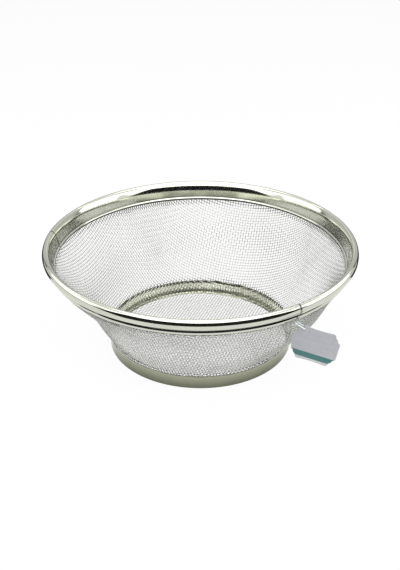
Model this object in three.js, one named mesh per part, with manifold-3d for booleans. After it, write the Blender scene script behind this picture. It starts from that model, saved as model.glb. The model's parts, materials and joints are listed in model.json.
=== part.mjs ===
import * as THREE from 'three';
import { mergeVertices } from 'three/addons/utils/BufferGeometryUtils.js';
import Module from 'manifold-3d';

const wasm = await Module();
wasm.setup();

// A basket strainer of woven steel wire, in millimetres. Its axis is Z and its foot stands on z = 0.
const rimDiameter = 280;
const overallHeight = 101.4;
const footDiameter = 169;
const footHeight = 12;

// Stock sizes and fits.
const rimSheet = 0.5;
const footSheet = 0.5;
const meshWire = 0.5;
const hoopWire = 1.6;
const clearance = 0.3;
const slitClearance = 0.45;
const seamGap = 0.6;

// Rim section, on the middle of its sheet: insets from its widest point, drops from its crest.
const shoulderDrop = 3.4;
const crestInset = 3.1;
const crestFlat = 2.05;
const wallInset = 7.55;
const wallDrop = 8.35;
const wallLead = 2.8;
const creaseInset = 3.75;
const creaseDrop = 9.25;
const creaseFlare = 3;
const grooveInset = 5.4;
const grooveDrop = 10.1;
const flareInset = 4.45;
const flareDrop = 12.25;
const flangeDrop = 14.25;
const hoopInset = 8.75;
const hoopDrop = 16.05;
const beadStart = THREE.MathUtils.degToRad(100);

// The rim is two lengths of strip that butt at these places round it.
const sideSeam = THREE.MathUtils.degToRad(172.5);
const frontSeam = THREE.MathUtils.degToRad(304.2);

// Pressed wire cloth: corner at the foot, and how its wall bows away from a straight cone.
const footHem = 4;
const cornerRadius = 3;
const wallRise = 1;
const meshLead = 1.6;
const meshTuck = 2.8;
const wallBelly = 0.5;
const wallHeel = 2.5;
const wallSway = 5;

// Openings of the cloth, far coarser than its weave: rows and columns in the wall, squares in the floor.
const gridColumns = 20;
const gridRows = 3;
const gridAcross = 6;
const gridBar = 5.2;
const gridFoot = 5;
const gridTop = 10;
const clothTurn = THREE.MathUtils.degToRad(-19.25);

// Hang tag and the nylon loop that carries it through the wire cloth.
const tagAzimuth = THREE.MathUtils.degToRad(-54);
const loopDrop = 4.2;
const loopLean = THREE.MathUtils.degToRad(61);
const loopLength = 9.6;
const loopRadius = 1.6;
const loopWire = 0.9;
const loopSwingIn = THREE.MathUtils.degToRad(10);
const tagYaw = THREE.MathUtils.degToRad(15);
const tagTurn = THREE.MathUtils.degToRad(8.7);
const tagWidth = 37.7;
const tagHeight = 32;
const tagThickness = 0.5;
const tagHole = 3.6;
const tagHoleX = 7.6;
const tagHoleY = 3.6;
const tagCornerX = 6.1;
const tagCornerY = 10.5;
const tagScallops = 2;
const tagScallopDepth = 1.6;
const tagDip = 1.4;

// Fineness of the facets.
const turnSteps = 60;
const wallSteps = 8;
const curveSteps = 3;
const cornerSteps = 3;
const wireSides = 8;
const loopSteps = 40;
const tagSteps = 6;

const steel = (color, roughness) => new THREE.MeshStandardMaterial({ color, roughness, metalness: 1 });
const rimSteel = steel(0xc9cac2, 0.12);
const meshSteel = steel(0xb9bab2, 0.35);
const footSteel = steel(0xbfc0b8, 0.2);
const tagCard = new THREE.MeshStandardMaterial({ color: 0xa9adb2, roughness: 0.55, metalness: 0 });
const tagNylon = new THREE.MeshStandardMaterial({ color: 0xf2f3f0, roughness: 0.35, metalness: 0 });

// Drops normals and texture coordinates, joins equal vertices and leaves out empty triangles.
function weld(geometry) {
  geometry.deleteAttribute('normal');
  geometry.deleteAttribute('uv');
  const welded = mergeVertices(geometry, 1e-4);
  const index = welded.index.array;
  const kept = [];
  for (let i = 0; i < index.length; i += 3) {
    const [a, b, c] = index.slice(i, i + 3);
    if (a !== b && b !== c && c !== a) kept.push(a, b, c);
  }
  welded.setIndex(kept);
  welded.computeVertexNormals();
  return welded;
}

function toSolid(geometry) {
  const welded = weld(geometry);
  const vertProperties = new Float32Array(welded.attributes.position.array);
  const triVerts = new Uint32Array(welded.index.array);
  return new wasm.Manifold(new wasm.Mesh({ numProp: 3, vertProperties, triVerts }));
}

function toGeometry(solid) {
  const mesh = solid.getMesh();
  const geometry = new THREE.BufferGeometry();
  geometry.setAttribute('position', new THREE.BufferAttribute(mesh.vertProperties, 3));
  geometry.setIndex(new THREE.BufferAttribute(mesh.triVerts, 1));
  geometry.computeVertexNormals();
  return geometry;
}

// Gives a line in the (radius, height) plane a thickness: its right side out, its left side back.
function thicken(line, thickness) {
  const right = [];
  const left = [];
  line.forEach((point, i) => {
    const before = line[Math.max(i - 1, 0)];
    const after = line[Math.min(i + 1, line.length - 1)];
    const into = point.clone().sub(before).normalize();
    const out = after.clone().sub(point).normalize();
    const along = into.clone().add(out).normalize();
    const turn = i === 0 || i === line.length - 1 ? 1 : along.dot(out);
    const side = new THREE.Vector2(along.y, -along.x).multiplyScalar(thickness / 2 / turn);
    right.push(point.clone().add(side));
    left.unshift(point.clone().sub(side));
  });
  return [...right, ...left];
}

// Turns a profile right round the Z axis.
function turned(profile) {
  return weld(new THREE.LatheGeometry(profile, turnSteps).rotateX(Math.PI / 2));
}

// Carries a closed outline round the Z axis from one angle to another and caps both ends.
function sweepArc(outline, from, to) {
  const step = (2 * Math.PI) / turnSteps;
  const angles = [from];
  for (let k = Math.floor(from / step) + 1; k * step < to; k += 1) {
    if (k * step - from > step / 8 && to - k * step > step / 8) angles.push(k * step);
  }
  angles.push(to);
  const ring = THREE.ShapeUtils.area(outline) < 0 ? [...outline].reverse() : outline;
  const count = ring.length;
  const position = angles.flatMap((angle) =>
    ring.flatMap((p) => [p.x * Math.cos(angle), p.x * Math.sin(angle), p.y]));
  const index = [];
  for (let j = 0; j + 1 < angles.length; j += 1) {
    for (let i = 0; i < count; i += 1) {
      const a = j * count + i;
      const b = j * count + ((i + 1) % count);
      index.push(a, a + count, b, a + count, b + count, b);
    }
  }
  const last = (angles.length - 1) * count;
  for (const [a, b, c] of THREE.ShapeUtils.triangulateShape(ring, [])) {
    index.push(a, b, c, last + c, last + b, last + a);
  }
  const geometry = new THREE.BufferGeometry();
  geometry.setAttribute('position', new THREE.Float32BufferAttribute(position, 3));
  geometry.setIndex(index);
  geometry.computeVertexNormals();
  return geometry;
}

// Shared places in the (radius, height) plane.
const meshThickness = 2 * meshWire;
const cutReach = 5 * meshThickness;
const rimEdge = rimDiameter / 2 - rimSheet / 2;
const crestHeight = overallHeight - rimSheet / 2;
const onRim = (inset, drop) => new THREE.Vector2(rimEdge - inset, crestHeight - drop);
const hoop = onRim(hoopInset, hoopDrop);
const bowlFoot = footDiameter / 2 - footSheet - clearance - meshThickness / 2;
const floorHeight = footSheet + clearance + meshThickness / 2;
const wallStart = new THREE.Vector2(bowlFoot, footHeight + wallRise);

// Directions at the rim: up the wall, and out through it.
const upWall = hoop.clone().sub(wallStart).normalize();
const outWall = new THREE.Vector2(upWall.y, -upWall.x);
const hoopToMesh = hoopWire / 2 + clearance + meshThickness / 2;
const throat = hoop.clone().addScaledVector(outWall, hoopToMesh);
const meshBend = throat.clone().addScaledVector(upWall, meshLead);

// Middle radius of the wall at a share of its height and an angle round the axis.
const wallBow = (share) => Math.sin(Math.PI * share) ** 2;
const wallShare = (height) =>
  THREE.MathUtils.clamp((height - wallStart.y) / (throat.y - wallStart.y), 0, 1);
const wallSide = (height, angle) => wallSway * Math.cos(angle) * wallBow(wallShare(height));

function wallRadius(height) {
  const share = wallShare(height);
  const bow = wallBelly + wallHeel * Math.cos(Math.PI * share);
  return THREE.MathUtils.lerp(wallStart.x, throat.x, share) + bow * wallBow(share);
}

// Wire cloth bowl: flat floor, rounded corner inside the foot, leaning wall, upright edge in the rim.
function bowlShell() {
  const corner = new THREE.Path();
  corner.moveTo(0, floorHeight);
  corner.lineTo(bowlFoot - cornerRadius, floorHeight);
  corner.absarc(bowlFoot - cornerRadius, floorHeight + cornerRadius, cornerRadius, -Math.PI / 2, 0);
  const line = corner.getPoints(cornerSteps);
  line.push(wallStart.clone());
  for (let i = 1; i <= wallSteps; i += 1) {
    const height = THREE.MathUtils.lerp(wallStart.y, throat.y, i / wallSteps);
    line.push(new THREE.Vector2(wallRadius(height), height));
  }
  line.push(meshBend.clone());
  line.push(new THREE.Vector2(meshBend.x, meshBend.y + meshTuck));
  const shell = turned(thicken(line, meshThickness));
  const position = shell.attributes.position;
  for (let i = 0; i < position.count; i += 1) {
    const [x, y, z] = [position.getX(i), position.getY(i), position.getZ(i)];
    const radius = Math.hypot(x, y);
    const angle = Math.atan2(y, x);
    const grown = radius > 0 ? (radius + wallSide(z, angle)) / radius : 1;
    position.setXY(i, x * grown, y * grown);
  }
  return shell;
}

// Section of the rim strip: flared flange, crimped groove, hollow roll, inner wall, bead round the hoop.
function rimSection() {
  const flare = onRim(flareInset, flareDrop);
  const groove = onRim(grooveInset, grooveDrop);
  const crease = onRim(creaseInset, creaseDrop);
  const widest = onRim(0, shoulderDrop);
  const crest = onRim(crestInset, 0);
  const wallTop = onRim(wallInset, wallDrop);
  const beadRadius = hoopWire / 2 + clearance + rimSheet / 2;
  const beadWrap = Math.acos(hoopWire / 2 / (beadRadius + rimSheet / 2));
  const beadEnd = 2 * Math.PI + Math.atan2(outWall.y, outWall.x) - beadWrap;
  const beadTop = new THREE.Vector2(Math.cos(beadStart), Math.sin(beadStart));
  beadTop.multiplyScalar(beadRadius).add(hoop);
  const wallAim = wallTop.clone().sub(beadTop).setLength(wallLead).add(wallTop);
  const flange = meshBend.x + meshThickness / 2 + slitClearance + rimSheet / 2;
  const line = new THREE.Path();
  line.moveTo(flange, crestHeight - flangeDrop);
  line.lineTo(flare.x, flare.y);
  line.lineTo(groove.x, groove.y);
  line.lineTo(crease.x, crease.y);
  line.quadraticCurveTo(widest.x, crease.y + creaseFlare, widest.x, widest.y);
  line.absellipse(crest.x, widest.y, crestInset, shoulderDrop, 0, Math.PI / 2);
  line.bezierCurveTo(crest.x - crestFlat, crest.y, wallAim.x, wallAim.y, wallTop.x, wallTop.y);
  line.lineTo(beadTop.x, beadTop.y);
  line.absarc(hoop.x, hoop.y, beadRadius, beadStart, beadEnd);
  return thicken(line.getPoints(curveSteps), rimSheet);
}

// One length of the rim between two seams.
function rimLength(from, to) {
  const gapAngle = seamGap / 2 / rimEdge;
  return sweepArc(rimSection(), from + gapAngle, to - gapAngle);
}

// Round wire hoop that the edge of the wire cloth is bent over, inside the bead of the rim.
function edgeHoop() {
  const circle = new THREE.EllipseCurve(hoop.x, hoop.y, hoopWire / 2, hoopWire / 2);
  return turned(circle.getPoints(wireSides));
}

// Foot: an upright band with its lower edge turned in under the floor of the bowl.
function footBand() {
  const outer = footDiameter / 2;
  const profile = [
    [outer - footHem, 0],
    [outer - footSheet, 0],
    [outer, footSheet],
    [outer, footHeight],
    [outer - footSheet, footHeight],
    [outer - footSheet, footSheet],
    [outer - footHem, footSheet],
    [outer - footHem, 0],
  ].map(([radius, height]) => new THREE.Vector2(radius, height));
  return turned(profile);
}

// Long round loop of nylon in the local YZ plane, its upper bend centred on the origin.
class LoopCurve extends THREE.Curve {
  getPoint(t, target = new THREE.Vector3()) {
    const straight = loopLength - loopRadius;
    const bend = Math.PI * loopRadius;
    const way = t * 2 * (straight + bend);
    if (way < bend) {
      const angle = way / loopRadius;
      return target.set(0, loopRadius * Math.cos(angle), loopRadius * Math.sin(angle));
    }
    if (way < bend + straight) return target.set(0, -loopRadius, bend - way);
    if (way < 2 * bend + straight) {
      const angle = Math.PI + (way - bend - straight) / loopRadius;
      return target.set(0, loopRadius * Math.cos(angle), loopRadius * Math.sin(angle) - straight);
    }
    return target.set(0, loopRadius, way - 2 * bend - 2 * straight);
  }
}

function tagLoop() {
  return weld(new THREE.TubeGeometry(new LoopCurve(), loopSteps, loopWire / 2, wireSides, true));
}

// Card with dipped long edges and scalloped corners, its upper left hole hung on the local origin.
function tagOutline() {
  const [halfX, halfY] = [tagWidth / 2, tagHeight / 2];
  const corners = [[1, 1], [-1, 1], [-1, -1], [1, -1]];
  const outline = new THREE.Shape();
  corners.forEach(([signX, signY]) => {
    const onSide = new THREE.Vector2(signX * halfX, signY * (halfY - tagCornerY));
    const onEdge = new THREE.Vector2(signX * (halfX - tagCornerX), signY * halfY);
    const [from, to] = signX === signY ? [onSide, onEdge] : [onEdge, onSide];
    const out = new THREE.Vector2(signX * tagCornerY, signY * tagCornerX).normalize();
    if (outline.curves.length === 0) outline.moveTo(from.x, from.y);
    else if (signX === signY) outline.lineTo(from.x, from.y);
    else outline.quadraticCurveTo(0, signY * (halfY - tagDip), from.x, from.y);
    for (let k = 0; k < tagScallops; k += 1) {
      const middle = from.clone().lerp(to, (k + 0.5) / tagScallops).addScaledVector(out, tagScallopDepth);
      const end = from.clone().lerp(to, (k + 1) / tagScallops);
      outline.quadraticCurveTo(middle.x, middle.y, end.x, end.y);
    }
  });
  outline.closePath();
  const hole = new THREE.Path();
  hole.absarc(tagHoleX - halfX, halfY - tagHoleY, tagHole / 2, 0, 2 * Math.PI, true);
  outline.holes.push(hole);
  return outline;
}

function hangTag() {
  const options = { depth: tagThickness, bevelEnabled: false, curveSegments: tagSteps };
  const card = new THREE.ExtrudeGeometry(tagOutline(), options);
  const seat = tagHole / 2 - loopWire / 2 - clearance;
  card.translate(tagWidth / 2 - tagHoleX, tagHoleY - tagHeight / 2 - seat, -tagThickness / 2);
  return weld(card.rotateX(Math.PI / 2));
}

// Where the loop passes the wall under the rim, and its directions there.
const loopHeight = throat.y - loopDrop;
const loopSide = wallRadius(loopHeight) + wallSide(loopHeight, tagAzimuth);
const loopPlace = new THREE.Vector3(
  loopSide * Math.cos(tagAzimuth), loopSide * Math.sin(tagAzimuth), loopHeight);
const loopTurn = new THREE.Euler(0, -loopLean, -tagYaw, 'ZYX');
const loopAcross = new THREE.Vector3(1, 0, 0).applyEuler(loopTurn);
const loopDown = new THREE.Vector3(0, 0, -1).applyEuler(loopTurn);

// Two openings in the wire cloth, either side of the strand that the loop hangs on.
function loopOpenings() {
  const out = new THREE.Vector3(
    outWall.x * Math.cos(tagAzimuth), outWall.x * Math.sin(tagAzimuth), outWall.y);
  const along = new THREE.Vector3().crossVectors(out, loopAcross).normalize();
  const through = new THREE.Vector3().crossVectors(loopAcross, along);
  const strandAngle = Math.asin(Math.abs(loopDown.dot(through))) - loopSwingIn;
  const strand = loopWire / 2 + clearance;
  const near = Math.sqrt((loopRadius - strand) ** 2 - (meshThickness / 2) ** 2);
  const far = (loopRadius + strand + meshThickness / 2) / Math.sin(strandAngle);
  return [-1, 1].map((side) => {
    const frame = new THREE.Matrix4().makeBasis(loopAcross, along, through);
    const middle = loopPlace.clone().addScaledVector(along, side * (near + far) / 2);
    const cut = new THREE.BoxGeometry(2 * strand, far - near, 4 * meshThickness);
    return toSolid(cut.applyMatrix4(frame.setPosition(middle)));
  });
}

// One opening of the wall: a block from height to height, between two upright bars.
function wallOpening(angle, low, high) {
  const block = new THREE.BoxGeometry(2, 2, 2);
  const position = block.attributes.position;
  for (let i = 0; i < position.count; i += 1) {
    const height = position.getY(i) > 0 ? high : low;
    const half = Math.PI / gridColumns - gridBar / 2 / wallRadius(height);
    const turn = angle + half * position.getX(i);
    const radius = wallRadius(height) + wallSide(height, turn) + cutReach * position.getZ(i);
    position.setXYZ(i, radius * Math.cos(turn), radius * Math.sin(turn), height);
  }
  return toSolid(block);
}

// Rows of openings round the wall, between a plain band above the foot and one under the rim.
function wallOpenings() {
  const from = wallStart.y + gridFoot;
  const step = (throat.y - gridTop + gridBar * upWall.y - from) / gridRows;
  const cuts = [];
  for (let row = 0; row < gridRows; row += 1) {
    const low = from + row * step;
    for (let column = 0; column < gridColumns; column += 1) {
      const angle = (2 * Math.PI * (column + 0.5)) / gridColumns;
      cuts.push(wallOpening(angle, low, low + step - gridBar * upWall.y));
    }
  }
  return cuts;
}

// Square openings of the floor, kept inside a round edge.
function floorOpenings() {
  const reach = bowlFoot - cornerRadius - gridBar / 2;
  const pitch = (2 * reach) / gridAcross;
  const disc = new THREE.CylinderGeometry(reach, reach, 2 * cutReach, turnSteps).rotateX(Math.PI / 2);
  const round = toSolid(disc.translate(0, 0, floorHeight));
  const cuts = [];
  for (let i = 0; i < gridAcross; i += 1) {
    for (let j = 0; j < gridAcross; j += 1) {
      const [x, y] = [i, j].map((k) => (k + 0.5 - gridAcross / 2) * pitch);
      if (Math.hypot(x, y) > reach) continue;
      const block = new THREE.BoxGeometry(pitch - gridBar, pitch - gridBar, 2 * cutReach);
      cuts.push(round.intersect(toSolid(block.translate(x, y, floorHeight).rotateZ(clothTurn))));
    }
  }
  return cuts;
}

function meshBowl() {
  const cuts = [...loopOpenings(), ...wallOpenings(), ...floorOpenings()];
  return toGeometry(cuts.reduce((bowl, cut) => bowl.subtract(cut), toSolid(bowlShell())));
}

function piece(name, geometry, material) {
  const mesh = new THREE.Mesh(geometry, material);
  mesh.name = name;
  return mesh;
}

const basket = new THREE.Group();
basket.add(piece('mesh_bowl', meshBowl(), meshSteel));
basket.add(piece('rim_strip_front', rimLength(sideSeam, frontSeam), rimSteel));
basket.add(piece('rim_strip_back', rimLength(frontSeam - 2 * Math.PI, sideSeam), rimSteel));
basket.add(piece('edge_hoop', edgeHoop(), rimSteel));
basket.add(piece('foot_ring', footBand(), footSteel));

const hanging = new THREE.Group();
hanging.position.copy(loopPlace);
hanging.rotation.copy(loopTurn);
hanging.add(piece('tag_loop', tagLoop(), tagNylon));
const tag = piece('hang_tag', hangTag(), tagCard);
tag.position.set(0, 0, -loopLength);
tag.rotation.y = loopLean + tagTurn;
hanging.add(tag);
basket.add(hanging);

export default basket;
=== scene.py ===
import json
import math

import bpy
import mathutils
import numpy as np
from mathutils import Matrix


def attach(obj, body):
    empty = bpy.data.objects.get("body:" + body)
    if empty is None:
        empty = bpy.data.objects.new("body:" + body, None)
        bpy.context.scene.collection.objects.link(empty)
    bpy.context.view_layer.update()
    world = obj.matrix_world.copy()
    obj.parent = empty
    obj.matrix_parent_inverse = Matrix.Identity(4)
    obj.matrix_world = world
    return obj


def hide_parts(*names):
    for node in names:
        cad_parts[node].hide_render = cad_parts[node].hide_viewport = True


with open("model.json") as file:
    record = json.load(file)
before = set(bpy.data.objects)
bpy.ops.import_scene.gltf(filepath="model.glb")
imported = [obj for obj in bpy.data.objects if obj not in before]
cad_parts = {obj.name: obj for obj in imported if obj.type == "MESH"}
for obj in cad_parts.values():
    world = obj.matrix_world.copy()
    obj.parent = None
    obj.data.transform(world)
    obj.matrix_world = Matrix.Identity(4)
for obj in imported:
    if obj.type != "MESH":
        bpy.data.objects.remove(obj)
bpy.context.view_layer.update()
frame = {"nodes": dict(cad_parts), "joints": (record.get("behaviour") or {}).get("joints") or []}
joints = {joint["name"]: joint for joint in frame["joints"]}
mm = 0.001  # the pieces below are in millimetres, the camera and the studio in metres
tiny = 1e-6  # lengths and scales below this count as nothing
white = (1, 1, 1, 1)
print("frame loaded:", ", ".join(sorted(frame["nodes"])))


# Curve led by control points: their sum with Bernstein weights, so a line, a quadratic or a cubic.
def bezier(points, steps):
    points = np.asarray(points, float)
    degree = len(points) - 1
    t = np.linspace(0, 1, steps + 1)[:, None]
    weights = [math.comb(degree, k) * t**k * (1 - t) ** (degree - k) for k in range(degree + 1)]
    return sum(weight * point for weight, point in zip(weights, points))


# Arc of an ellipse or a circle: centre plus (cos, sin) of the angle times the half axes or the radius.
def arc(centre, halfAxes, fromDeg, toDeg, steps):
    angle = np.radians(np.linspace(fromDeg, toDeg, steps + 1))[:, None]
    return np.asarray(centre) + np.asarray(halfAxes) * np.hstack([np.cos(angle), np.sin(angle)])


# Bend at a corner between two straight runs: a quadratic that leaves and joins them the reach away from it.
def bend(before, corner, after, reach, steps):
    before, corner, after = (np.asarray(point, float) for point in (before, corner, after))
    start = corner + reach * unit(before - corner)
    end = corner + reach * unit(after - corner)
    return bezier([start, corner, end], steps)


# Runs of points joined into one line, less each point that repeats the one before it.
def joinRuns(*runs):
    line = np.vstack(runs)
    step = np.linalg.norm(np.diff(line, axis=0), axis=1)
    return line[np.concatenate([[True], step > tiny])]


# Length along a line up to each of its points: the running sum of its steps.
def lengthAlong(line):
    return np.concatenate([[0], np.cumsum(np.linalg.norm(np.diff(line, axis=0), axis=1))])


# Both columns of a line at given runs along it, by straight steps between its points.
def atRun(run, runs, line):
    return np.interp(run, runs, line[:, 0]), np.interp(run, runs, line[:, 1])


# Unit vectors: each vector along the last axis over its length.
def unit(v):
    return v / np.linalg.norm(v, axis=-1, keepdims=True)


# Closed outline of a sheet: its middle line moved half the thickness to the right, then back along the left.
def sheetOutline(line, thickness):
    along = unit(np.gradient(line, axis=0))
    side = np.stack([along[:, 1], -along[:, 0]], 1) * thickness / 2
    return np.vstack([line + side, (line - side)[::-1]])


# Quads of a grid of rows by columns, joined round where that direction is closed.
def gridQuads(rows, columns, closedRows, closedColumns):
    i, j = np.meshgrid(
        np.arange(rows if closedRows else rows - 1),
        np.arange(columns if closedColumns else columns - 1),
        indexing="ij",
    )
    nextI, nextJ = (i + 1) % rows, (j + 1) % columns
    corners = [i * columns + j, nextI * columns + j, nextI * columns + nextJ, i * columns + nextJ]
    return np.stack(corners, -1).reshape(-1, 4)


# Outline carried round the Z axis: each point at (radius cos, radius sin, height) of the angle.
def sweepRound(outline, angles):
    radius, height = outline[:, 0][None, :], outline[:, 1][None, :]
    turn = angles[:, None]
    return np.stack([radius * np.cos(turn), radius * np.sin(turn), height + 0 * turn], -1)


# Round section carried along lines: each point plus radius times (cos, sin) of the angle on its two sides.
def sweepAlong(path, sideA, sideB, radius, sides):
    angle = np.linspace(0, 2 * np.pi, sides, endpoint=False)[:, None]
    ring = np.cos(angle) * sideA[..., None, :] + np.sin(angle) * sideB[..., None, :]
    return path[..., None, :] + radius * ring


# Six times the volume inside the faces, from triangle fans about each face's first corner.
def signedVolume(points, faceSets):
    total = 0.0
    for faces in faceSets:
        corner = points[faces]
        for k in range(1, faces.shape[1] - 1):
            total += np.einsum("ij,ij->", corner[:, 0], np.cross(corner[:, k], corner[:, k + 1]))
    return total


# Mesh object from points in millimetres and face tables, turned outwards, riding in place of CAD nodes.
def makePiece(name, points, faceSets, body, nodes, material, sharpDeg, values=None, uv=None):
    points = np.asarray(points, float).reshape(-1, 3)
    if signedVolume(points, faceSets) < 0:
        faceSets = [faces[:, ::-1] for faces in faceSets]
    corners = np.concatenate([faces.ravel() for faces in faceSets]).astype(np.int32)
    sizes = np.concatenate([np.full(len(faces), faces.shape[1]) for faces in faceSets])
    mesh = bpy.data.meshes.new(name)
    mesh.vertices.add(len(points))
    mesh.vertices.foreach_set("co", (points * mm).astype(np.float32).ravel())
    mesh.loops.add(len(corners))
    mesh.loops.foreach_set("vertex_index", corners)
    mesh.polygons.add(len(sizes))
    mesh.polygons.foreach_set("loop_start", (np.cumsum(sizes) - sizes).astype(np.int32))
    mesh.polygons.foreach_set("use_smooth", np.ones(len(sizes), bool))
    mesh.update(calc_edges=True)
    for key, value in (values or {}).items():
        attribute = mesh.attributes.new(key, "FLOAT", "POINT")
        attribute.data.foreach_set("value", value.astype(np.float32).ravel())
    if uv is not None:
        layer = mesh.uv_layers.new(name="UVMap")
        layer.data.foreach_set("uv", uv[corners].astype(np.float32).ravel())
    mesh.validate()
    mesh.set_sharp_from_angle(angle=math.radians(sharpDeg))
    mesh.materials.append(material)
    piece = bpy.data.objects.new(name, mesh)
    bpy.context.scene.collection.objects.link(piece)
    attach(piece, body)
    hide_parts(*nodes)
    print(f"{name}: {int(sum(sizes - 2))} triangles")


# Node of a tree with its inputs set by name or number; a socket as a value is linked.
def addNode(tree, kind, inputs=None, **settings):
    node = tree.nodes.new(kind)
    for key, value in settings.items():
        setattr(node, key, value)
    for key, value in (inputs or {}).items():
        if isinstance(value, bpy.types.NodeSocket):
            tree.links.new(value, node.inputs[key])
        else:
            node.inputs[key].default_value = value
    return node


# Colour ramp on a factor socket: straight changes between (position, colour) stops.
def addRamp(tree, factor, stops):
    ramp = addNode(tree, "ShaderNodeValToRGB", {"Fac": factor})
    elements = ramp.color_ramp.elements
    while len(elements) < len(stops):
        elements.new(0.5)
    for element, (position, colour) in zip(elements, stops):
        element.position = position
        element.color = (*colour, 1)
    return ramp.outputs["Color"]


# Noise on object coordinates, stretched by a Mapping node; the scale counts waves in a metre.
def addNoise(tree, scale, detail=3.0, stretch=(1, 1, 1)):
    place = addNode(tree, "ShaderNodeTexCoord").outputs["Object"]
    place = addNode(tree, "ShaderNodeMapping", {"Vector": place, "Scale": stretch}).outputs["Vector"]
    noise = addNode(tree, "ShaderNodeTexNoise", {"Vector": place, "Scale": scale, "Detail": detail})
    return noise.outputs["Fac"]


# Value moved in a straight line from one range to another and held at both ends.
def addRange(tree, value, low, high, fromLow=0.3, fromHigh=0.7):
    inputs = {"Value": value, "From Min": fromLow, "From Max": fromHigh, "To Min": low, "To Max": high}
    return addNode(tree, "ShaderNodeMapRange", inputs).outputs["Result"]


# Normal that leans with the slope of a height from nothing to one, which stands for a depth in millimetres.
def addBump(tree, height, strength, depth):
    inputs = {"Height": height, "Strength": strength, "Distance": depth * mm}
    return addNode(tree, "ShaderNodeBump", inputs).outputs["Normal"]


# Sum, difference or product of two values, held between nothing and one if asked.
def addMath(tree, operation, first, second, clamp=False):
    inputs = {0: first, 1: second}
    return addNode(tree, "ShaderNodeMath", inputs, operation=operation, use_clamp=clamp).outputs[0]


# Value that the mesh keeps at each of its points.
def addValue(tree, name):
    return addNode(tree, "ShaderNodeAttribute", attribute_name=name).outputs["Fac"]


# Two colours mixed: the share of the second, or of their product, and the rest of the first.
def addBlend(tree, share, first, second, kind="MIX"):
    inputs = {0: share, 6: first, 7: second}
    return addNode(tree, "ShaderNodeMix", inputs, data_type="RGBA", blend_type=kind).outputs[2]


# Two tints of a piece mixed by noise: dark below the low mark, light above the high one.
def addTint(tree, piece, scale=22, low=0.35, high=0.65):
    return addRamp(tree, addNoise(tree, scale), [(low, piece["dark"]), (high, piece["light"])])


# Material with a plain shader, given with its tree and that shader.
def newMaterial(name):
    material = bpy.data.materials.new(name)
    material.use_nodes = True
    return material, material.node_tree, material.node_tree.nodes["Principled BSDF"]


# Empty node tree of a material or a world.
def emptyTree(owner):
    owner.use_nodes = True
    owner.node_tree.nodes.clear()
    return owner.node_tree


# Fine grain of a piece: one noise gives its roughness, between two values, and its bump.
def addGrain(tree, shader, piece, detail=4.0, stretch=(1, 1, 1)):
    grain = addNoise(tree, piece["grain"], detail, stretch)
    tree.links.new(addRange(tree, grain, *piece["rough"]), shader.inputs["Roughness"])
    tree.links.new(addBump(tree, grain, piece["bump"], piece["depth"]), shader.inputs["Normal"])


# Steel: full metal with a fine grain, stretched along the stock where it is rolled.
def steel(name, piece):
    material, tree, shader = newMaterial(name)
    shader.inputs["Metallic"].default_value = 1
    addGrain(tree, shader, piece, stretch=piece["stretch"])
    return material, tree, shader


# Camera: standpoint, tilt and lens from the circles of the rim and the foot in the picture.
eye = dict(
    place=(0, -0.69464, 0.44366), downDeg=29.21, lens=54.78, sensor=36, nearest=0.01, farthest=50,
    shiftPixels=-0.4, picturePixels=570,
)


# Camera tilted down from level, with its picture shifted sideways by a part of a pixel.
def addCamera():
    data = bpy.data.cameras.new("camera")
    data.lens, data.sensor_width = eye["lens"], eye["sensor"]
    data.shift_x = eye["shiftPixels"] / eye["picturePixels"]
    data.clip_start, data.clip_end = eye["nearest"], eye["farthest"]
    camera = bpy.data.objects.new("camera", data)
    camera.location = eye["place"]
    camera.rotation_euler = (math.radians(90 - eye["downDeg"]), 0, 0)
    bpy.context.scene.collection.objects.link(camera)
    bpy.context.scene.camera = camera


addCamera()
print("camera set")

# Studio: white table, white sky, soft boxes, and near screens that only polished metal sees.
studio = dict(
    floorHalf=6.0, floorColour=(0.93, 0.93, 0.925), cameraGlow=0.94, mirrorGlow=0.75, skyLight=0.2,
    aim=(0, 0, 0.09), screenRadius=0.5, screenSteps=240, sideTop=0.118, sideFoot=0.09,
    darkColour=(0.012, 0.012, 0.013), darkTop=0.345, darkDeg=42, darkFade=24,
    dullColour=(0.68, 0.68, 0.69), dullTop=0.58, dullDeg=52, dullFade=14,
    notchTop=0.2, notchDeg=5, notchFade=9,
    skirtColour=(0.03, 0.03, 0.028), skirtTop=0.08, skirtStep=0.004,
    groundInner=0.2, groundDeg=75, groundLift=0.0005,
)
boxes = dict(
    top=dict(place=(0, -0.2, 1.6), size=(1.8, 1.7), glow=1.6, diffuse=1.0),
    front=dict(place=(0, -1.05, 0.9), size=(4.6, 0.95), glow=1.55, diffuse=0.2),
    left=dict(place=(-1.2, 0.1, 0.55), size=(1.1, 0.8), glow=0.85, diffuse=1.0),
    right=dict(place=(1.2, 0.1, 0.55), size=(1.1, 0.8), glow=1.3, diffuse=1.0),
    backLeft=dict(place=(-0.75, 0.95, 0.95), size=(0.8, 0.6), glow=1.6, diffuse=0.2),
    backRight=dict(place=(0.75, 0.95, 0.95), size=(0.8, 0.6), glow=1.6, diffuse=0.2),
)


# Two shaders mixed: the share of the second and the rest of the first.
def addMix(tree, share, first, second):
    return addNode(tree, "ShaderNodeMixShader", {0: share, 1: first, 2: second}).outputs[0]


# Share of white: one value for rays from the camera, another for rays from a mirror or through a glass.
def addSeen(tree, cameraShare, mirrorShare):
    path = addNode(tree, "ShaderNodeLightPath").outputs
    mirrored = addMath(tree, "ADD", path["Is Glossy Ray"], path["Is Transmission Ray"], clamp=True)
    direct = addMath(tree, "MULTIPLY", path["Is Camera Ray"], cameraShare)
    return addMath(tree, "ADD", addMath(tree, "MULTIPLY", mirrored, mirrorShare), direct)


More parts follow.
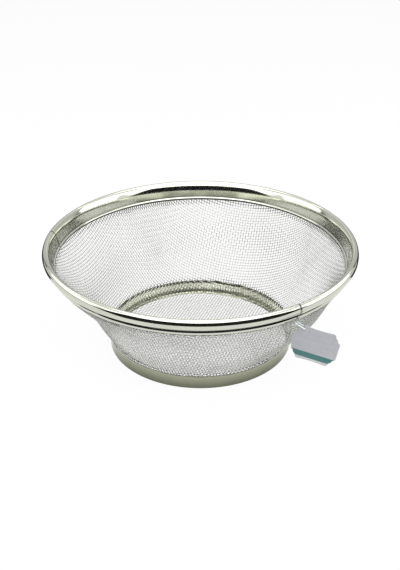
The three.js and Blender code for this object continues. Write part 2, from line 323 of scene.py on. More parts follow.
# Sky that is white where it is seen or mirrored and lights the rest with a low strength.
def addSky():
    world = bpy.data.worlds.new("sky")
    bpy.context.scene.world = world
    tree = emptyTree(world)
    light, seen = (
        addNode(tree, "ShaderNodeBackground", {"Color": white, "Strength": strength}).outputs[0]
        for strength in (studio["skyLight"], 1)
    )
    addNode(tree, "ShaderNodeOutputWorld", {"Surface": addMix(tree, addSeen(tree, 1, 1), light, seen)})


# Flat square of floor; where it is seen it glows white in part and keeps the rest of its shading.
def addFloor():
    half = studio["floorHalf"]
    corners = [(-half, -half, 0), (half, -half, 0), (half, half, 0), (-half, half, 0)]
    mesh = bpy.data.meshes.new("floor")
    mesh.from_pydata(corners, [], [(0, 1, 2, 3)])
    material = bpy.data.materials.new("floor_paint")
    tree = emptyTree(material)
    paint = addNode(tree, "ShaderNodeBsdfDiffuse", {"Color": (*studio["floorColour"], 1)}).outputs[0]
    glow = addNode(tree, "ShaderNodeEmission", {"Color": white, "Strength": 1}).outputs[0]
    share = addSeen(tree, studio["cameraGlow"], studio["mirrorGlow"])
    addNode(tree, "ShaderNodeOutputMaterial", {"Surface": addMix(tree, share, paint, glow)})
    mesh.materials.append(material)
    table = bpy.data.objects.new("floor", mesh)
    bpy.context.scene.collection.objects.link(table)


# Soft step, 3 s squared less 2 s cubed: one inside an angle, nothing past the fade beyond it.
def softStep(angle, inside, fade):
    share = np.clip((inside + fade - angle) / fade, 0, 1)
    return share * share * (3 - 2 * share)


# Emitting card that only mirrors see, a grid of rows by columns with a colour at each point.
def addCard(name, points, closedRows, colour):
    mesh = bpy.data.meshes.new(name)
    quads = gridQuads(*points.shape[:2], closedRows, False)
    mesh.from_pydata(points.reshape(-1, 3).tolist(), [], quads.tolist())
    paint = np.ones((*points.shape[:2], 4), np.float32)
    paint[..., :3] = colour
    mesh.attributes.new("tint", "FLOAT_COLOR", "POINT").data.foreach_set("color", paint.ravel())
    material = bpy.data.materials.new(name + "_paint")
    tree = emptyTree(material)
    tint = addNode(tree, "ShaderNodeAttribute", attribute_name="tint").outputs["Color"]
    glow = addNode(tree, "ShaderNodeEmission", {"Color": tint, "Strength": 1})
    addNode(tree, "ShaderNodeOutputMaterial", {"Surface": glow.outputs[0]})
    mesh.materials.append(material)
    card = bpy.data.objects.new(name, mesh)
    bpy.context.scene.collection.objects.link(card)
    card.visible_camera = card.visible_diffuse = card.visible_shadow = False


# Upright ring whose top rises by soft steps, to a dark screen towards -Y and to a dull one towards +Y that
# has a notch in its top and a dark skirt, with a flat dark card on the ground before the dull one.
def addScreens():
    angles = np.linspace(0, 2 * np.pi, studio["screenSteps"], endpoint=False)
    circle = np.stack([np.cos(angles), np.sin(angles)], 1)[:, None]
    fromFront = np.degrees(np.arccos(np.clip(-np.sin(angles), -1, 1)))
    fromBack = 180 - fromFront
    dark = softStep(fromFront, studio["darkDeg"], studio["darkFade"])
    dull = softStep(fromBack, studio["dullDeg"], studio["dullFade"])
    notch = softStep(fromBack, studio["notchDeg"], studio["notchFade"])
    side = studio["sideTop"]
    top = side + dark * (studio["darkTop"] - side) + dull * (studio["dullTop"] - side)
    top = top - notch * (studio["dullTop"] - studio["notchTop"])
    bottom = studio["sideFoot"] * (1 - np.maximum(dark, dull))
    skirt = np.clip(studio["skirtTop"], bottom, top - studio["skirtStep"])
    levels = np.stack([bottom, skirt, skirt + studio["skirtStep"], top], 1)[..., None]
    upright = np.repeat(studio["screenRadius"] * circle, levels.shape[1], 1)
    change = np.subtract(studio["dullColour"], studio["darkColour"])
    upper = np.asarray(studio["darkColour"]) + dull[:, None] * change
    lower = np.broadcast_to(studio["skirtColour"], upper.shape)
    shade = np.stack([lower, lower, upper, upper], 1)
    addCard("screens", np.concatenate([upright, levels], -1), True, shade)
    behind = circle[fromBack < studio["groundDeg"]]
    flat = np.concatenate([studio["groundInner"] * behind, studio["screenRadius"] * behind], 1)
    lift = np.full((*flat.shape[:2], 1), studio["groundLift"])
    addCard("ground", np.concatenate([flat, lift], -1), False, studio["skirtColour"])


# Soft boxes turned to the middle of the object; power is glow times pi times area.
def addBoxes():
    for name, box in boxes.items():
        data = bpy.data.lights.new(name + "_box", "AREA")
        data.shape = "RECTANGLE"
        data.size, data.size_y = box["size"]
        data.energy = box["glow"] * math.pi * box["size"][0] * box["size"][1]
        data.diffuse_factor = box["diffuse"]
        lamp = bpy.data.objects.new(name + "_box", data)
        lamp.location = box["place"]
        towards = mathutils.Vector(studio["aim"]) - lamp.location
        lamp.rotation_euler = towards.to_track_quat("-Z", "Y").to_euler()
        lamp.visible_camera = False
        bpy.context.scene.collection.objects.link(lamp)


addSky()
addFloor()
addScreens()
addBoxes()
bpy.context.scene.view_settings.view_transform = "Standard"
print("studio set")

# Rolled rim: insets are from the widest point of the strip's middle, drops from its crest.
rim = dict(
    edgeRadius=139.75, crestHeight=101.15, sheet=0.5, seamGap=0.6, sideSeamDeg=172.5, frontSeamDeg=304.2,
    shoulderDrop=4.8, crestInset=3.1, crestFlat=2.5, wallInset=7.66, wallDrop=8.35, wallLead=3.3,
    creaseInset=3.75, creaseDrop=9.8, creaseReach=0.5, creaseFlare=3.0,
    grooveInset=5.4, grooveDrop=10.65, grooveReach=0.6, flareInset=4.45, flareDrop=12.7, flareReach=0.7,
    flangeInset=5.332, flangeDrop=14.5, hoopInset=8.75, hoopDrop=16.05,
    beadRadius=1.45, beadFromDeg=100, beadToDeg=264,
    stepDeg=0.75, bendSteps=6, creaseSteps=5, rollSteps=16, rollFirst=3,
    shoulderSteps=18, crestSteps=24, wallSteps=6, beadSteps=20, sharpDeg=40,
    # shaded is the tint of a painted shade near the seams, under the bead and in the crease above it
    dark=(0.60, 0.615, 0.53), light=(0.64, 0.655, 0.57), shaded=(0.1, 0.1, 0.085),
    rough=(0.07, 0.11), grain=40, stretch=(1, 1, 3), bump=0.03, depth=0.4,
    seamClear=(0.35, 1.0), seamReach=(0.1, 1.1), beadShadeSteps=13, creaseShade=0.45, creaseSpread=2,
)


# Point of the section: edge radius less its inset, crest height less its drop.
def onRim(key):
    return np.array([rim["edgeRadius"] - rim[key + "Inset"], rim["crestHeight"] - rim[key + "Drop"]])


hoopCentre = onRim("hoop")


# Middle line of the strip: flared flange, crimped groove, roll over the crest, inner wall, bead at the hoop.
def rimLine():
    crease, groove, flare, flange, wallTop = (
        onRim(key) for key in ("crease", "groove", "flare", "flange", "wall")
    )
    widest = np.array([rim["edgeRadius"], rim["crestHeight"] - rim["shoulderDrop"]])
    crest = np.array([rim["edgeRadius"] - rim["crestInset"], rim["crestHeight"]])
    bead = arc(hoopCentre, rim["beadRadius"], rim["beadFromDeg"], rim["beadToDeg"], rim["beadSteps"])
    shoulder = (rim["crestInset"], rim["shoulderDrop"])
    wallAim = wallTop + rim["wallLead"] * unit(wallTop - bead[0])
    roll = bezier([crease, (widest[0], crease[1] + rim["creaseFlare"]), widest], rim["rollSteps"])
    rollOn = roll[rim["rollFirst"] :]  # past the crease's bend
    return joinRuns(
        flange[None],
        bend(flange, flare, groove, rim["flareReach"], rim["bendSteps"]),
        bend(flare, groove, crease, rim["grooveReach"], rim["bendSteps"]),
        bend(groove, crease, roll[rim["rollFirst"] - 1], rim["creaseReach"], rim["creaseSteps"]),
        rollOn,
        arc((crest[0], widest[1]), shoulder, 0, 90, rim["shoulderSteps"]),
        bezier([crest, crest - (rim["crestFlat"], 0), wallAim, wallTop], rim["crestSteps"]),
        bezier([wallTop, bead[0]], rim["wallSteps"])[1:-1],
        bead,
    )


# Length of strip between two seams: the sheet's outline carried round, capped at both ends. nearSeam is the
# distance to the nearer end in mm; the painted shade value is one on the bead's turned-in end and less in
# the crease above it.
def rimStrip(name, node, fromDeg, toDeg, material):
    outline = sheetOutline(rimLine(), rim["sheet"])
    gap = math.degrees(rim["seamGap"] / 2 / rim["edgeRadius"])
    steps = round((toDeg - fromDeg) / rim["stepDeg"])
    angles = np.radians(np.linspace(fromDeg + gap, toDeg - gap, steps + 1))
    points = sweepRound(outline, angles)
    count = len(outline)
    first = np.arange(count // 2 - 1)
    cap = np.stack([first, first + 1, count - 2 - first, count - 1 - first], 1)
    fromEnd = np.minimum(angles - angles[0], angles[-1] - angles) * rim["edgeRadius"]
    fromLast = np.arange(count // 2)[::-1]
    inCrease = abs(fromLast - rim["beadSteps"]) < rim["creaseSpread"]
    # painted shade: one on the bead's turned-in underside, the crease share in the crease above it
    beadShade = (fromLast < rim["beadShadeSteps"]) + rim["creaseShade"] * inCrease
    values = {
        "nearSeam": np.repeat(fromEnd, count),
        "beadShade": np.tile(np.concatenate([beadShade, beadShade[::-1]]), len(angles)),
    }
    faces = [gridQuads(len(angles), count, False, True), cap, cap[:, ::-1] + (len(angles) - 1) * count]
    makePiece(name, points, faces, "basket", [node], material, rim["sharpDeg"], values)


# Polished strip: steel that goes to a painted shade, its shaded tint, in the last millimetre before a seam,
# on the bead's underside and in part in the crease above it.
def polishedStrip():
    material, tree, shader = steel("polished_strip", rim)
    clear = addRange(tree, addValue(tree, "nearSeam"), *rim["seamClear"], *rim["seamReach"])
    share = addMath(tree, "SUBTRACT", clear, addValue(tree, "beadShade"), clamp=True)
    tint = addBlend(tree, share, (*rim["shaded"], 1), addTint(tree, rim))
    tree.links.new(tint, shader.inputs["Base Color"])
    return material


polished = polishedStrip()
rimStrip("rim_front", "rim_strip_front", rim["sideSeamDeg"], rim["frontSeamDeg"], polished)
rimStrip("rim_back", "rim_strip_back", rim["frontSeamDeg"] - 360, rim["sideSeamDeg"], polished)

# Hoop of plain wire inside the bead.
hoop = dict(
    wire=1.6, sides=12, steps=240, sharpDeg=50,
    dark=(0.62, 0.62, 0.58), light=(0.72, 0.72, 0.68),
    rough=(0.2, 0.34), grain=420, stretch=(1, 1, 1), bump=0.05, depth=0.1,
)


# Hoop: a circle of the wire's radius carried right round the axis.
def edgeHoop(material):
    circle = arc(hoopCentre, hoop["wire"] / 2, 0, 360, hoop["sides"])[:-1]
    points = sweepRound(circle, np.linspace(0, 2 * np.pi, hoop["steps"], endpoint=False))
    quads = gridQuads(hoop["steps"], hoop["sides"], True, True)
    makePiece("hoop", points, [quads], "basket", ["edge_hoop"], material, hoop["sharpDeg"])


# Drawn wire: steel in two tints.
def drawnWire():
    material, tree, shader = steel("drawn_wire", hoop)
    tree.links.new(addTint(tree, hoop), shader.inputs["Base Color"])
    return material


edgeHoop(drawnWire())

# Foot: an upright band, flared a little at its top, its lower edge turned in as a hem. Marks are heights.
foot = dict(
    radius=84.5, height=12.0, hem=4.0, sheet=0.5, corner=0.9, fillet=1.0,
    lean=1.15, leanTop=4.2, leanReach=0.8, flare=0.85, flareFoot=10.8, flareTop=13.1, flareReach=0.6,
    steps=480, cornerSteps=8, bendSteps=5, sharpDeg=40,
    # painted light and shade: outside darker towards the table, inside a bright band between shaded bands,
    # dark top edge
    outerShadeLow=(0.152, 0.157, 0.110), outerShadeHigh=(0.37, 0.38, 0.288), innerLight=(0.90, 0.91, 0.80),
    topEdgeShade=(0.17, 0.17, 0.13), innerShadeLow=(0.62, 0.63, 0.52), hemTint=(0.55, 0.555, 0.47),
    outsideMarks=((1.31, "outerShadeLow"), (11.79, "outerShadeHigh"), (12.838, "topEdgeShade")),
    insideMarks=(
        (0.7, "hemTint"), (1.4, "innerShadeLow"), (3.8, "innerShadeLow"),
        (5.0, "innerLight"), (10.4, "innerLight"), (11.4, "topEdgeShade"),
    ),
    waver=0.5, waverScale=120, rough=(0.06, 0.11), grain=30, stretch=(1, 1, 8), bump=0.04, depth=0.4,
)


# Outside and inside lines of the band in one closed outline, carried round; outer is one on the outside.
def footBand(material):
    sheet, top, steps = foot["sheet"], foot["flareTop"], foot["bendSteps"]
    outer, inner, hem = foot["radius"], foot["radius"] - sheet, foot["radius"] - foot["hem"]
    lipOut, lipIn = (outer + foot["flare"], top), (inner + foot["flare"], top)
    sole, side = (outer, 0), (outer, foot["flareFoot"])
    toe, heel, knee = (inner - foot["lean"], sheet), (inner, foot["leanTop"]), (inner, foot["flareFoot"])
    outside = joinRuns(
        [(hem, 0)], bend((hem, 0), sole, side, foot["corner"], foot["cornerSteps"]),
        bend(sole, side, lipOut, foot["flareReach"], steps), [lipOut],
    )
    inside = joinRuns(
        [lipIn], bend(lipIn, knee, heel, foot["flareReach"], steps),
        bend(knee, heel, toe, foot["leanReach"], steps),
        bend(heel, toe, (hem, sheet), foot["fillet"], foot["cornerSteps"]), [(hem, sheet)],
    )
    outline = np.vstack([outside, inside])
    points = sweepRound(outline, np.linspace(0, 2 * np.pi, foot["steps"], endpoint=False))
    quads = gridQuads(foot["steps"], len(outline), True, True)
    onOuter = np.concatenate([np.ones(len(outside)), np.zeros(len(inside))])
    values = {"outer": np.tile(onOuter, foot["steps"])}
    makePiece(
        "foot_band", points, [quads], "basket", ["foot_ring"], material,
        foot["sharpDeg"], values,
    )


# Rolled band: tints by the height with a waver; inside a painted bright reflection between a band of painted
# shade low down and a dark band of painted shade at the top edge, outside painted shade, darker towards the
# table.
def rolledBand():
    material, tree, shader = steel("rolled_band", foot)
    place = addNode(tree, "ShaderNodeTexCoord").outputs["Object"]
    height = addNode(tree, "ShaderNodeSeparateXYZ", {0: place}).outputs["Z"]
    waver = addRange(tree, addNoise(tree, foot["waverScale"]), -foot["waver"] * mm, foot["waver"] * mm)
    rise = addRange(tree, addMath(tree, "ADD", height, waver), 0, 1, 0, foot["flareTop"] * mm)
    inside, outside = (
        addRamp(tree, rise, [(mark / foot["flareTop"], foot[tint]) for mark, tint in foot[marks]])
        for marks in ("insideMarks", "outsideMarks")
    )
    tint = addBlend(tree, addValue(tree, "outer"), inside, outside)
    tree.links.new(tint, shader.inputs["Base Color"])
    return material


footBand(rolledBand())

# Wire cloth: the weave, and the bowl that it was pressed to, with the solid's clearances. Painted shade
# zones are runs from the bowl's middle, first and last, with the shares on the wires' inner and outer sides.
cloth = dict(
    pitch=2.73232, wire=0.5, turnDeg=-19.83583, sides=6, sharpDeg=80, gap=0.3, corner=3.0, wallRise=1.0,
    heel=2.5, lead=1.6, tuck=2.8, tuckReach=1.4, belly=0.5, heelBow=2.5, sway=5.0,
    floorSteps=160, cornerSteps=16, uprightSteps=12, heelSteps=16, wallSteps=200, tuckSteps=10,
    lineSteps=1600, ease=8.0, easeReach=4, spare=40.0, spareLanes=4,
    netSteps=8, mostRun=1.0, mostTurn=0.05, normalStep=0.4,
    # painted shade at the bottom corner, the heel by the band's top edge and under the bead; painted light
    # where it lies on the band
    shadedZones=((81.0, 86.6, 0.9, 0.0), (94.2, 97.0, 0.9, 0.9), (174.2, 200.0, 1.0, 0.0)),
    litWires=(86.6, 94.2), fade=0.5, facing=0.4,
    dark=(0.46, 0.465, 0.445), light=(0.54, 0.545, 0.52), shadedWiresTint=(0.05, 0.05, 0.035),
    litWiresTint=(0.80, 0.81, 0.70), rough=(0.10, 0.18), grain=600, stretch=(1, 1, 1), bump=0.04, depth=0.1,
)
floorHeight = foot["sheet"] + cloth["gap"] + cloth["wire"]
wallFoot = np.array([foot["radius"] - floorHeight, foot["height"] + cloth["wallRise"]])
upWall = unit(hoopCentre - wallFoot)
outWall = np.array([upWall[1], -upWall[0]])
throat = hoopCentre + outWall * (hoop["wire"] / 2 + cloth["gap"] + cloth["wire"])
clothBend = throat + upWall * cloth["lead"]
clothEdge = clothBend + (0, cloth["tuck"])


# Share of the wall's height: nothing at its foot, one at the throat under the bead.
def wallShare(height):
    return np.clip((height - wallFoot[1]) / (throat[1] - wallFoot[1]), 0, 1)


# Radius of the leaning wall: a straight cone plus a bow that is fuller near the foot.
def wallRadius(height):
    share = wallShare(height)
    bow = cloth["belly"] + cloth["heelBow"] * np.cos(np.pi * share)
    return wallFoot[0] + (throat[0] - wallFoot[0]) * share + bow * np.sin(np.pi * share) ** 2


# Line of the bowl from its middle to its edge at even steps of the run along it: floor, rounded corner,
# short upright, wall and tucked edge, as runs and points of radius and height.
def bowlLine():
    corner, heel = cloth["corner"], cloth["heel"]
    height = np.linspace(wallFoot[1] + heel, throat[1], cloth["wallSteps"])
    wall = np.stack([wallRadius(height), height], 1)
    inner, upright = wallFoot[0] - corner, (wallFoot[0], wallFoot[1] - heel)
    line = joinRuns(
        bezier([(0, floorHeight), (inner, floorHeight)], cloth["floorSteps"]),
        arc((inner, floorHeight + corner), corner, -90, 0, cloth["cornerSteps"]),
        bezier([(wallFoot[0], floorHeight + corner), upright], cloth["uprightSteps"]),
        bezier([upright, wallFoot, wall[0]], cloth["heelSteps"]),
        wall,
        bend(wall[-1], clothBend, clothEdge, cloth["tuckReach"], cloth["tuckSteps"]),
        [clothEdge],
    )
    run = lengthAlong(line)
    even = np.linspace(0, run[-1], cloth["lineSteps"])
    return even, np.stack(atRun(even, run, line), 1)


# Same line with its corners eased by a bell-shaped average over the run, carried on straight past the edge.
def easedLine(run, line):
    step = run[1]
    reach = int(cloth["easeReach"] * cloth["ease"] / step)
    weight = np.exp(-0.5 * (np.arange(-reach, reach + 1) * step / cloth["ease"]) ** 2)
    before = line[1 : reach + 1][::-1] * (-1, 1)
    after = line[-1] + (line[-1] - line[-2]) * np.arange(1, reach + 1)[:, None]
    padded = np.vstack([before, line, after])
    eased = np.stack([np.convolve(padded[:, k], weight / weight.sum(), "valid") for k in (0, 1)], 1)
    along = (eased[-1] - eased[-2]) / step
    return np.vstack([eased, eased[-1] + along * cloth["spare"]])


lineRun, lineBowl = bowlLine()
edgeRun = lineRun[-1]
longRun = np.append(lineRun, edgeRun + cloth["spare"])
layLine = np.vstack([lineBowl, lineBowl[-1] + (0, cloth["spare"])])
netLine = easedLine(lineRun, lineBowl)
netSlope = np.gradient(netLine, longRun, axis=0)


# Place on the eased bowl at a run and a bearing, with its slopes along the run and along the bearing.
def onNet(run, bearing):
    radius, height = atRun(run, longRun, netLine)
    slopeR, slopeZ = atRun(run, longRun, netSlope)
    cosine, sine = np.cos(bearing), np.sin(bearing)
    place = np.stack([radius * cosine, radius * sine, height], -1)
    alongRun = np.stack([slopeR * cosine, slopeR * sine, slopeZ], -1)
    alongBearing = np.stack([-radius * sine, radius * cosine, 0 * radius], -1)
    return place, alongRun, alongBearing


# Runs and bearings one pitch from two places, from a flat guess by Newton's steps on both squared distances.
def nextKnots(guess, before, beside):
    run, bearing = np.abs(guess), np.angle(guess)
    for step in range(cloth["netSteps"]):
        place, alongRun, alongBearing = onNet(run, bearing)
        arms = np.stack([place - before, place - beside])
        miss = np.sum(arms * arms, -1) - cloth["pitch"] ** 2
        byRun = 2 * np.sum(arms * alongRun, -1)
        byTurn = 2 * np.sum(arms * alongBearing, -1)
        scale = byRun[0] * byTurn[1] - byRun[1] * byTurn[0]
        scale = np.where(np.abs(scale) > tiny, scale, np.inf)
        stepRun = (byTurn[0] * miss[1] - byTurn[1] * miss[0]) / scale
        stepTurn = (byRun[1] * miss[0] - byRun[0] * miss[1]) / scale
        run = run + np.clip(stepRun, -cloth["mostRun"], cloth["mostRun"])
        bearing = bearing + np.clip(stepTurn, -cloth["mostTurn"], cloth["mostTurn"])
    return run, bearing


# Knots of a quarter of the cloth as a fishnet, diagonal by diagonal out from its two straight axes: each
# lies one pitch from its two inner neighbours, and is given flat as run times (cos, sin) of its bearing.
def drapeQuarter():
    count = int(edgeRun / cloth["pitch"]) + cloth["spareLanes"]
    run, bearing = np.zeros((count, count)), np.zeros((count, count))
    run[:, 0] = run[0] = np.interp(np.arange(count) * cloth["pitch"], lengthAlong(netLine), longRun)
    bearing[0, 1:] = np.pi / 2
    for diagonal in range(2, 2 * count - 1):
        i = np.arange(max(1, diagonal - count + 1), min(diagonal, count))
        j = diagonal - i
        flat = run * np.exp(1j * bearing)
        guess = flat[i - 1, j] + flat[i, j - 1] - flat[i - 1, j - 1]
        before = onNet(run[i - 1, j], bearing[i - 1, j])[0]
        beside = onNet(run[i, j - 1], bearing[i, j - 1])[0]
        run[i, j], bearing[i, j] = nextKnots(guess, before, beside)
    return np.stack([run * np.cos(bearing), run * np.sin(bearing)], -1)


# All knots: the quarter mirrored to the other three, rows by lane of the warp, columns by lane of the weft.
def drapeCloth():
    quarter = drapeQuarter()
    half = np.concatenate([quarter[:0:-1] * (-1, 1), quarter])
    return np.concatenate([half[:, :0:-1] * (1, -1), half], 1)


# Point of the bowl at a run and bearing given as flat u and v, with the wall's lean to one side.
def layCloth(u, v):
    bearing = np.arctan2(v, u) + math.radians(cloth["turnDeg"])
    radius, height = atRun(np.hypot(u, v), longRun, layLine)
    radius = radius + cloth["sway"] * np.cos(bearing) * np.sin(np.pi * wallShare(height)) ** 2
    return np.stack([radius * np.cos(bearing), radius * np.sin(bearing), height], -1)


# Unit normal of the laid cloth: the cross product of small steps both ways.
def clothNormal(u, v):
    step = cloth["normalStep"]
    alongU = layCloth(u + step, v) - layCloth(u - step, v)
    alongV = layCloth(u, v + step) - layCloth(u, v - step)
    return unit(np.cross(alongU, alongV))


# All wires one way: lines through the knots and halfway between, a cosine of half a wire over and under the
# cloth, with a round section. Gives each ring's lane, run and points.
def weave(grid, sign):
    count, columns = grid.shape[:2]
    uv = np.zeros((count, 2 * columns - 1, 2))
    uv[:, ::2] = grid
    uv[:, 1::2] = (grid[:, 1:] + grid[:, :-1]) / 2
    u, v = uv[..., 0], uv[..., 1]
    lane = np.arange(count)[:, None] + 0 * u
    normal = clothNormal(u, v)
    wave = sign * cloth["wire"] / 2 * np.cos(np.pi * (lane + np.arange(2 * columns - 1) / 2))
    centre = layCloth(u, v) + wave[..., None] * normal
    tangent = unit(np.gradient(centre, axis=1))
    sideA = unit(normal - np.sum(normal * tangent, -1, keepdims=True) * tangent)
    sideB = np.cross(tangent, sideA)
    return lane, np.hypot(u, v), sweepAlong(centre, sideA, sideB, cloth["wire"] / 2, cloth["sides"])


# One between two runs along the bowl, fading in a straight line to nothing at both ends.
def zoneShare(run, first, last):
    return np.clip(np.minimum(run - first, last - run) / cloth["fade"] + 0.5, 0, 1)


# Rings of some lanes that lie on the cloth become tubes: quads between neighbours on a wire, and a cap at
# each end. The painted shade and painted light values are shares of those tints, by the run and by how far
# a side faces into the bowl.
def wirePiece(name, lane, run, rings, lanes, material):
    inside = (run < edgeRun) & (lane >= lanes[0]) & (lane < lanes[1])
    sides = rings.shape[2]
    number = np.cumsum(inside.ravel()).reshape(inside.shape) - 1
    joined = inside[:, :-1] & inside[:, 1:]
    near = number[:, :-1][joined][:, None] * sides
    far = number[:, 1:][joined][:, None] * sides
    k = np.arange(sides)
    after = (k + 1) % sides
    quads = np.stack([near + k, near + after, far + after, far + k], -1).reshape(-1, 4)
    edge = np.zeros((len(inside), 1), bool)
    before, behind = np.hstack([edge, inside[:, :-1]]), np.hstack([inside[:, 1:], edge])
    starts = number[inside & ~before][:, None] * sides + k[::-1]
    stops = number[inside & ~behind][:, None] * sides + k
    inward = np.clip(np.cos(2 * np.pi * k / sides) + cloth["facing"], 0, 1)
    shadedWires = np.zeros((inside.sum(), sides))
    # painted shade by zone and painted light on the band, stronger on the sides facing into the bowl
    for first, last, inner, outer in cloth["shadedZones"]:
        share = zoneShare(run[inside], first, last)[:, None]
        shadedWires = np.maximum(shadedWires, share * (outer + (inner - outer) * inward))
    litWires = zoneShare(run[inside], *cloth["litWires"])[:, None] * inward
    makePiece(
        name, rings[inside], [quads, starts, stops], "basket", ["mesh_bowl"], material,
        cloth["sharpDeg"], {"shadedWires": shadedWires, "litWires": litWires},
    )


# Wire of the cloth: painted shade at the bottom corner, by the band's top edge and under the bead, painted
# light where it lies on the foot's band.
def clothWire():
    material, tree, shader = steel("cloth_wire", cloth)
    tint = addTint(tree, cloth)
    for key in ("litWires", "shadedWires"):
        tint = addBlend(tree, addValue(tree, key), tint, (*cloth[key + "Tint"], 1))
    tree.links.new(tint, shader.inputs["Base Color"])
    return material


knots = drapeCloth()
drawn = clothWire()
halves = {"a": (0, len(knots) // 2), "b": (len(knots) // 2, len(knots))}
for way, grid, sign in (("warp", knots, 1), ("weft", knots.transpose(1, 0, 2), -1)):
    woven = weave(grid, sign)
    for half, lanes in halves.items():
        wirePiece(f"{way}_wires_{half}", *woven, lanes, drawn)

# Hang tag: card with scalloped corners and dipped long edges, sizes in its own plane from its middle.
tag = dict(
    width=37.7, height=32.0, thickness=0.5, hole=3.6, holeX=7.6, holeY=3.6, seat=1.05, turnDeg=11.0,
    cornerX=7.0, cornerY=10.0, scallops=3, scallopDepth=1.3, dip=1.4, curl=0.5,
    scallopSteps=8, dipSteps=24, sideSteps=10, rows=20, sharpDeg=30, uvSpan=40.0,
    grey=(0.40, 0.41, 0.44), pale=(0.50, 0.51, 0.53), teal=(0.045, 0.165, 0.155), core=(0.62, 0.62, 0.6),
    bandLow=-13.0, bandHigh=-8.0, bandSoft=0.16, coreFade=(0.05, 0.35),
    mottle=(0.93, 1.05), mottleScale=260, mottleDetail=4.0,
    rough=(0.36, 0.5), grain=900, grainDetail=3.0, bump=0.15, depth=0.1,
)


# Outline from the right side round: scallops across the corners, quadratics that lean out from the straight
# cut, and a long edge that dips in the middle. The lower half is the upper one after half a turn.
def tagOutline():
    halfX, halfY, scallops = tag["width"] / 2, tag["height"] / 2, tag["scallops"]
    onSide = np.array([halfX, halfY - tag["cornerY"]])
    onEdge = np.array([halfX - tag["cornerX"], halfY])
    out = tag["scallopDepth"] * unit(np.array([tag["cornerY"], tag["cornerX"]]))
    cut = bezier([onSide, onEdge], 2 * scallops)
    lobes = [
        bezier([cut[2 * k], cut[2 * k + 1] + out, cut[2 * k + 2]], tag["scallopSteps"])
        for k in range(scallops)
    ]
    corner = joinRuns(*lobes)
    mirror = (-1, 1)
    upper = joinRuns(
        corner,
        bezier([onEdge, (0, halfY - tag["dip"]), onEdge * mirror], tag["dipSteps"]),
        corner[::-1] * mirror,
        bezier([onSide * mirror, -onSide], tag["sideSteps"]),
    )
    return joinRuns(upper, -upper)[:-1]


# Card as rings from its outline in to the round hole, front and back, with a slight curl across it, the
# square of x. The joint lies the seat above the hole's middle. onFace is nothing at the cut edge.
def hangTag(material):
    outline = tagOutline()
    hole = np.array([tag["holeX"] - tag["width"] / 2, tag["height"] / 2 - tag["holeY"]])
    bearing = np.unwrap(np.arctan2(*(outline - hole).T[::-1]))
    ring = hole + tag["hole"] / 2 * np.stack([np.cos(bearing), np.sin(bearing)], 1)
    share = np.linspace(0, 1, tag["rows"] + 1)[:, None, None]
    flat = outline * (1 - share) + ring * share
    rows, columns = flat.shape[:2]
    curl = tag["curl"] * ((flat[..., :1] / tag["width"]) ** 2 - (hole[0] / tag["width"]) ** 2)
    joint = joints["tag_swing"]
    back, plumb = np.array(joint["axis"]), np.array([0, 0, 1.0])
    level = unit(np.cross(back, plumb))
    turn = math.radians(tag["turnDeg"])
    right = math.cos(turn) * level - math.sin(turn) * plumb
    up = math.sin(turn) * level + math.cos(turn) * plumb
    pivot = np.array(joint["pos_m"]) / mm
    fromPivot = flat - hole - (0, tag["seat"])
    middle = pivot + fromPivot[..., :1] * right + fromPivot[..., 1:] * up + curl * back
    half = tag["thickness"] / 2 * back
    size = rows * columns
    front = gridQuads(rows, columns, False, True)
    k = np.arange(columns)
    after = (k + 1) % columns
    edge = np.stack([k, after, after + size, k + size], 1)
    bore = np.stack([k, k + size, after + size, after], 1) + (rows - 1) * columns
    faces = [front, front[:, ::-1] + size, np.concatenate([edge, bore])]
    onFace = np.tile(np.repeat(np.minimum(share.ravel() * rows, 1.0), columns), 2)
    uv = np.tile(flat.reshape(-1, 2) / tag["uvSpan"] + 0.5, (2, 1))
    makePiece(
        "tag", np.stack([middle - half, middle + half]), faces, "tag", ["hang_tag"], material,
        tag["sharpDeg"], {"onFace": onFace}, uv,
    )


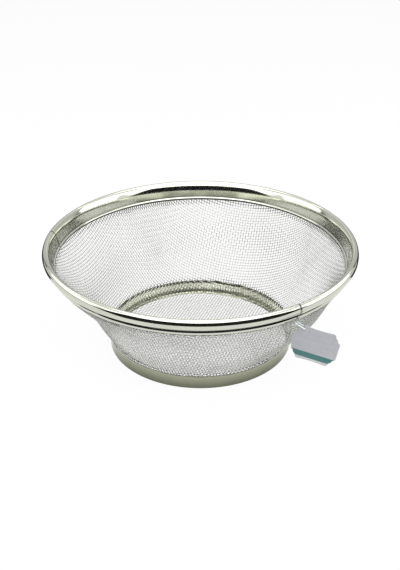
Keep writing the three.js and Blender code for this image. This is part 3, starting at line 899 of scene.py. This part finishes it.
# Coated card: grey with a plain band by the card's own height, paler core at the cut edge, mottle and grain.
def coatedCard():
    material, tree, shader = newMaterial("coated_card")
    place = addNode(tree, "ShaderNodeUVMap", uv_map="UVMap").outputs["UV"]
    height = addNode(tree, "ShaderNodeSeparateXYZ", {0: place}).outputs["Y"]
    low, high, soft = tag["bandLow"], tag["bandHigh"], tag["bandSoft"]
    marks = ((low - soft, "pale"), (low, "teal"), (high, "teal"), (high + soft, "grey"))
    printed = addRamp(tree, height, [(mark / tag["uvSpan"] + 0.5, tag[tint]) for mark, tint in marks])
    mottle = addRange(tree, addNoise(tree, tag["mottleScale"], tag["mottleDetail"]), *tag["mottle"])
    shade = addBlend(tree, 1.0, printed, mottle, "MULTIPLY")
    inside = addRange(tree, addValue(tree, "onFace"), 0, 1, *tag["coreFade"])
    tree.links.new(addBlend(tree, inside, (*tag["core"], 1), shade), shader.inputs["Base Color"])
    addGrain(tree, shader, tag, tag["grainDetail"])
    return material


hangTag(coatedCard())

# Nylon loop: a long round loop through the cloth and the tag's hole.
loop = dict(
    radius=1.6, wire=0.9, sides=12, bendSteps=14, straightSteps=6, sharpDeg=50,
    dark=(0.86, 0.87, 0.86), light=(0.93, 0.94, 0.93), rough=0.28, glowThrough=0.3, glowReach=1.0,
)


# Path of two half circles and two straight runs in the plane square to the joint's axis, a round section.
def tagLoop(material):
    top, bottom = (np.array(joints[name]["pos_m"]) / mm for name in ("loop_swing", "tag_swing"))
    across = unit(np.array(joints["loop_swing"]["axis"]))
    down = unit(bottom - top)
    side = np.cross(across, down)
    straight = np.linalg.norm(bottom - top) - loop["radius"]
    upper = arc((0, 0), loop["radius"], 0, 180, loop["bendSteps"])
    lower = arc((0, -straight), loop["radius"], 180, 360, loop["bendSteps"])
    flat = joinRuns(
        upper, bezier([upper[-1], lower[0]], loop["straightSteps"]),
        lower, bezier([lower[-1], upper[0]], loop["straightSteps"])[:-1],
    )
    path = top + flat[:, :1] * side - flat[:, 1:] * down
    tangent = unit(np.roll(path, -1, 0) - np.roll(path, 1, 0))
    out = np.cross(tangent, across)
    points = sweepAlong(path, out, np.broadcast_to(across, path.shape), loop["wire"] / 2, loop["sides"])
    quads = gridQuads(len(path), loop["sides"], True, True)
    makePiece("nylon_loop", points, [quads], "loop", ["tag_loop"], material, loop["sharpDeg"])


# White nylon: two tints mixed by noise, half smooth, with some light spread inside it.
def nylon():
    material, tree, shader = newMaterial("white_nylon")
    tint = addTint(tree, loop, scale=300, low=0.3, high=0.7)
    tree.links.new(tint, shader.inputs["Base Color"])
    shader.inputs["Roughness"].default_value = loop["rough"]
    shader.inputs["Subsurface Weight"].default_value = loop["glowThrough"]
    shader.inputs["Subsurface Scale"].default_value = loop["glowReach"] * mm
    return material


tagLoop(nylon())
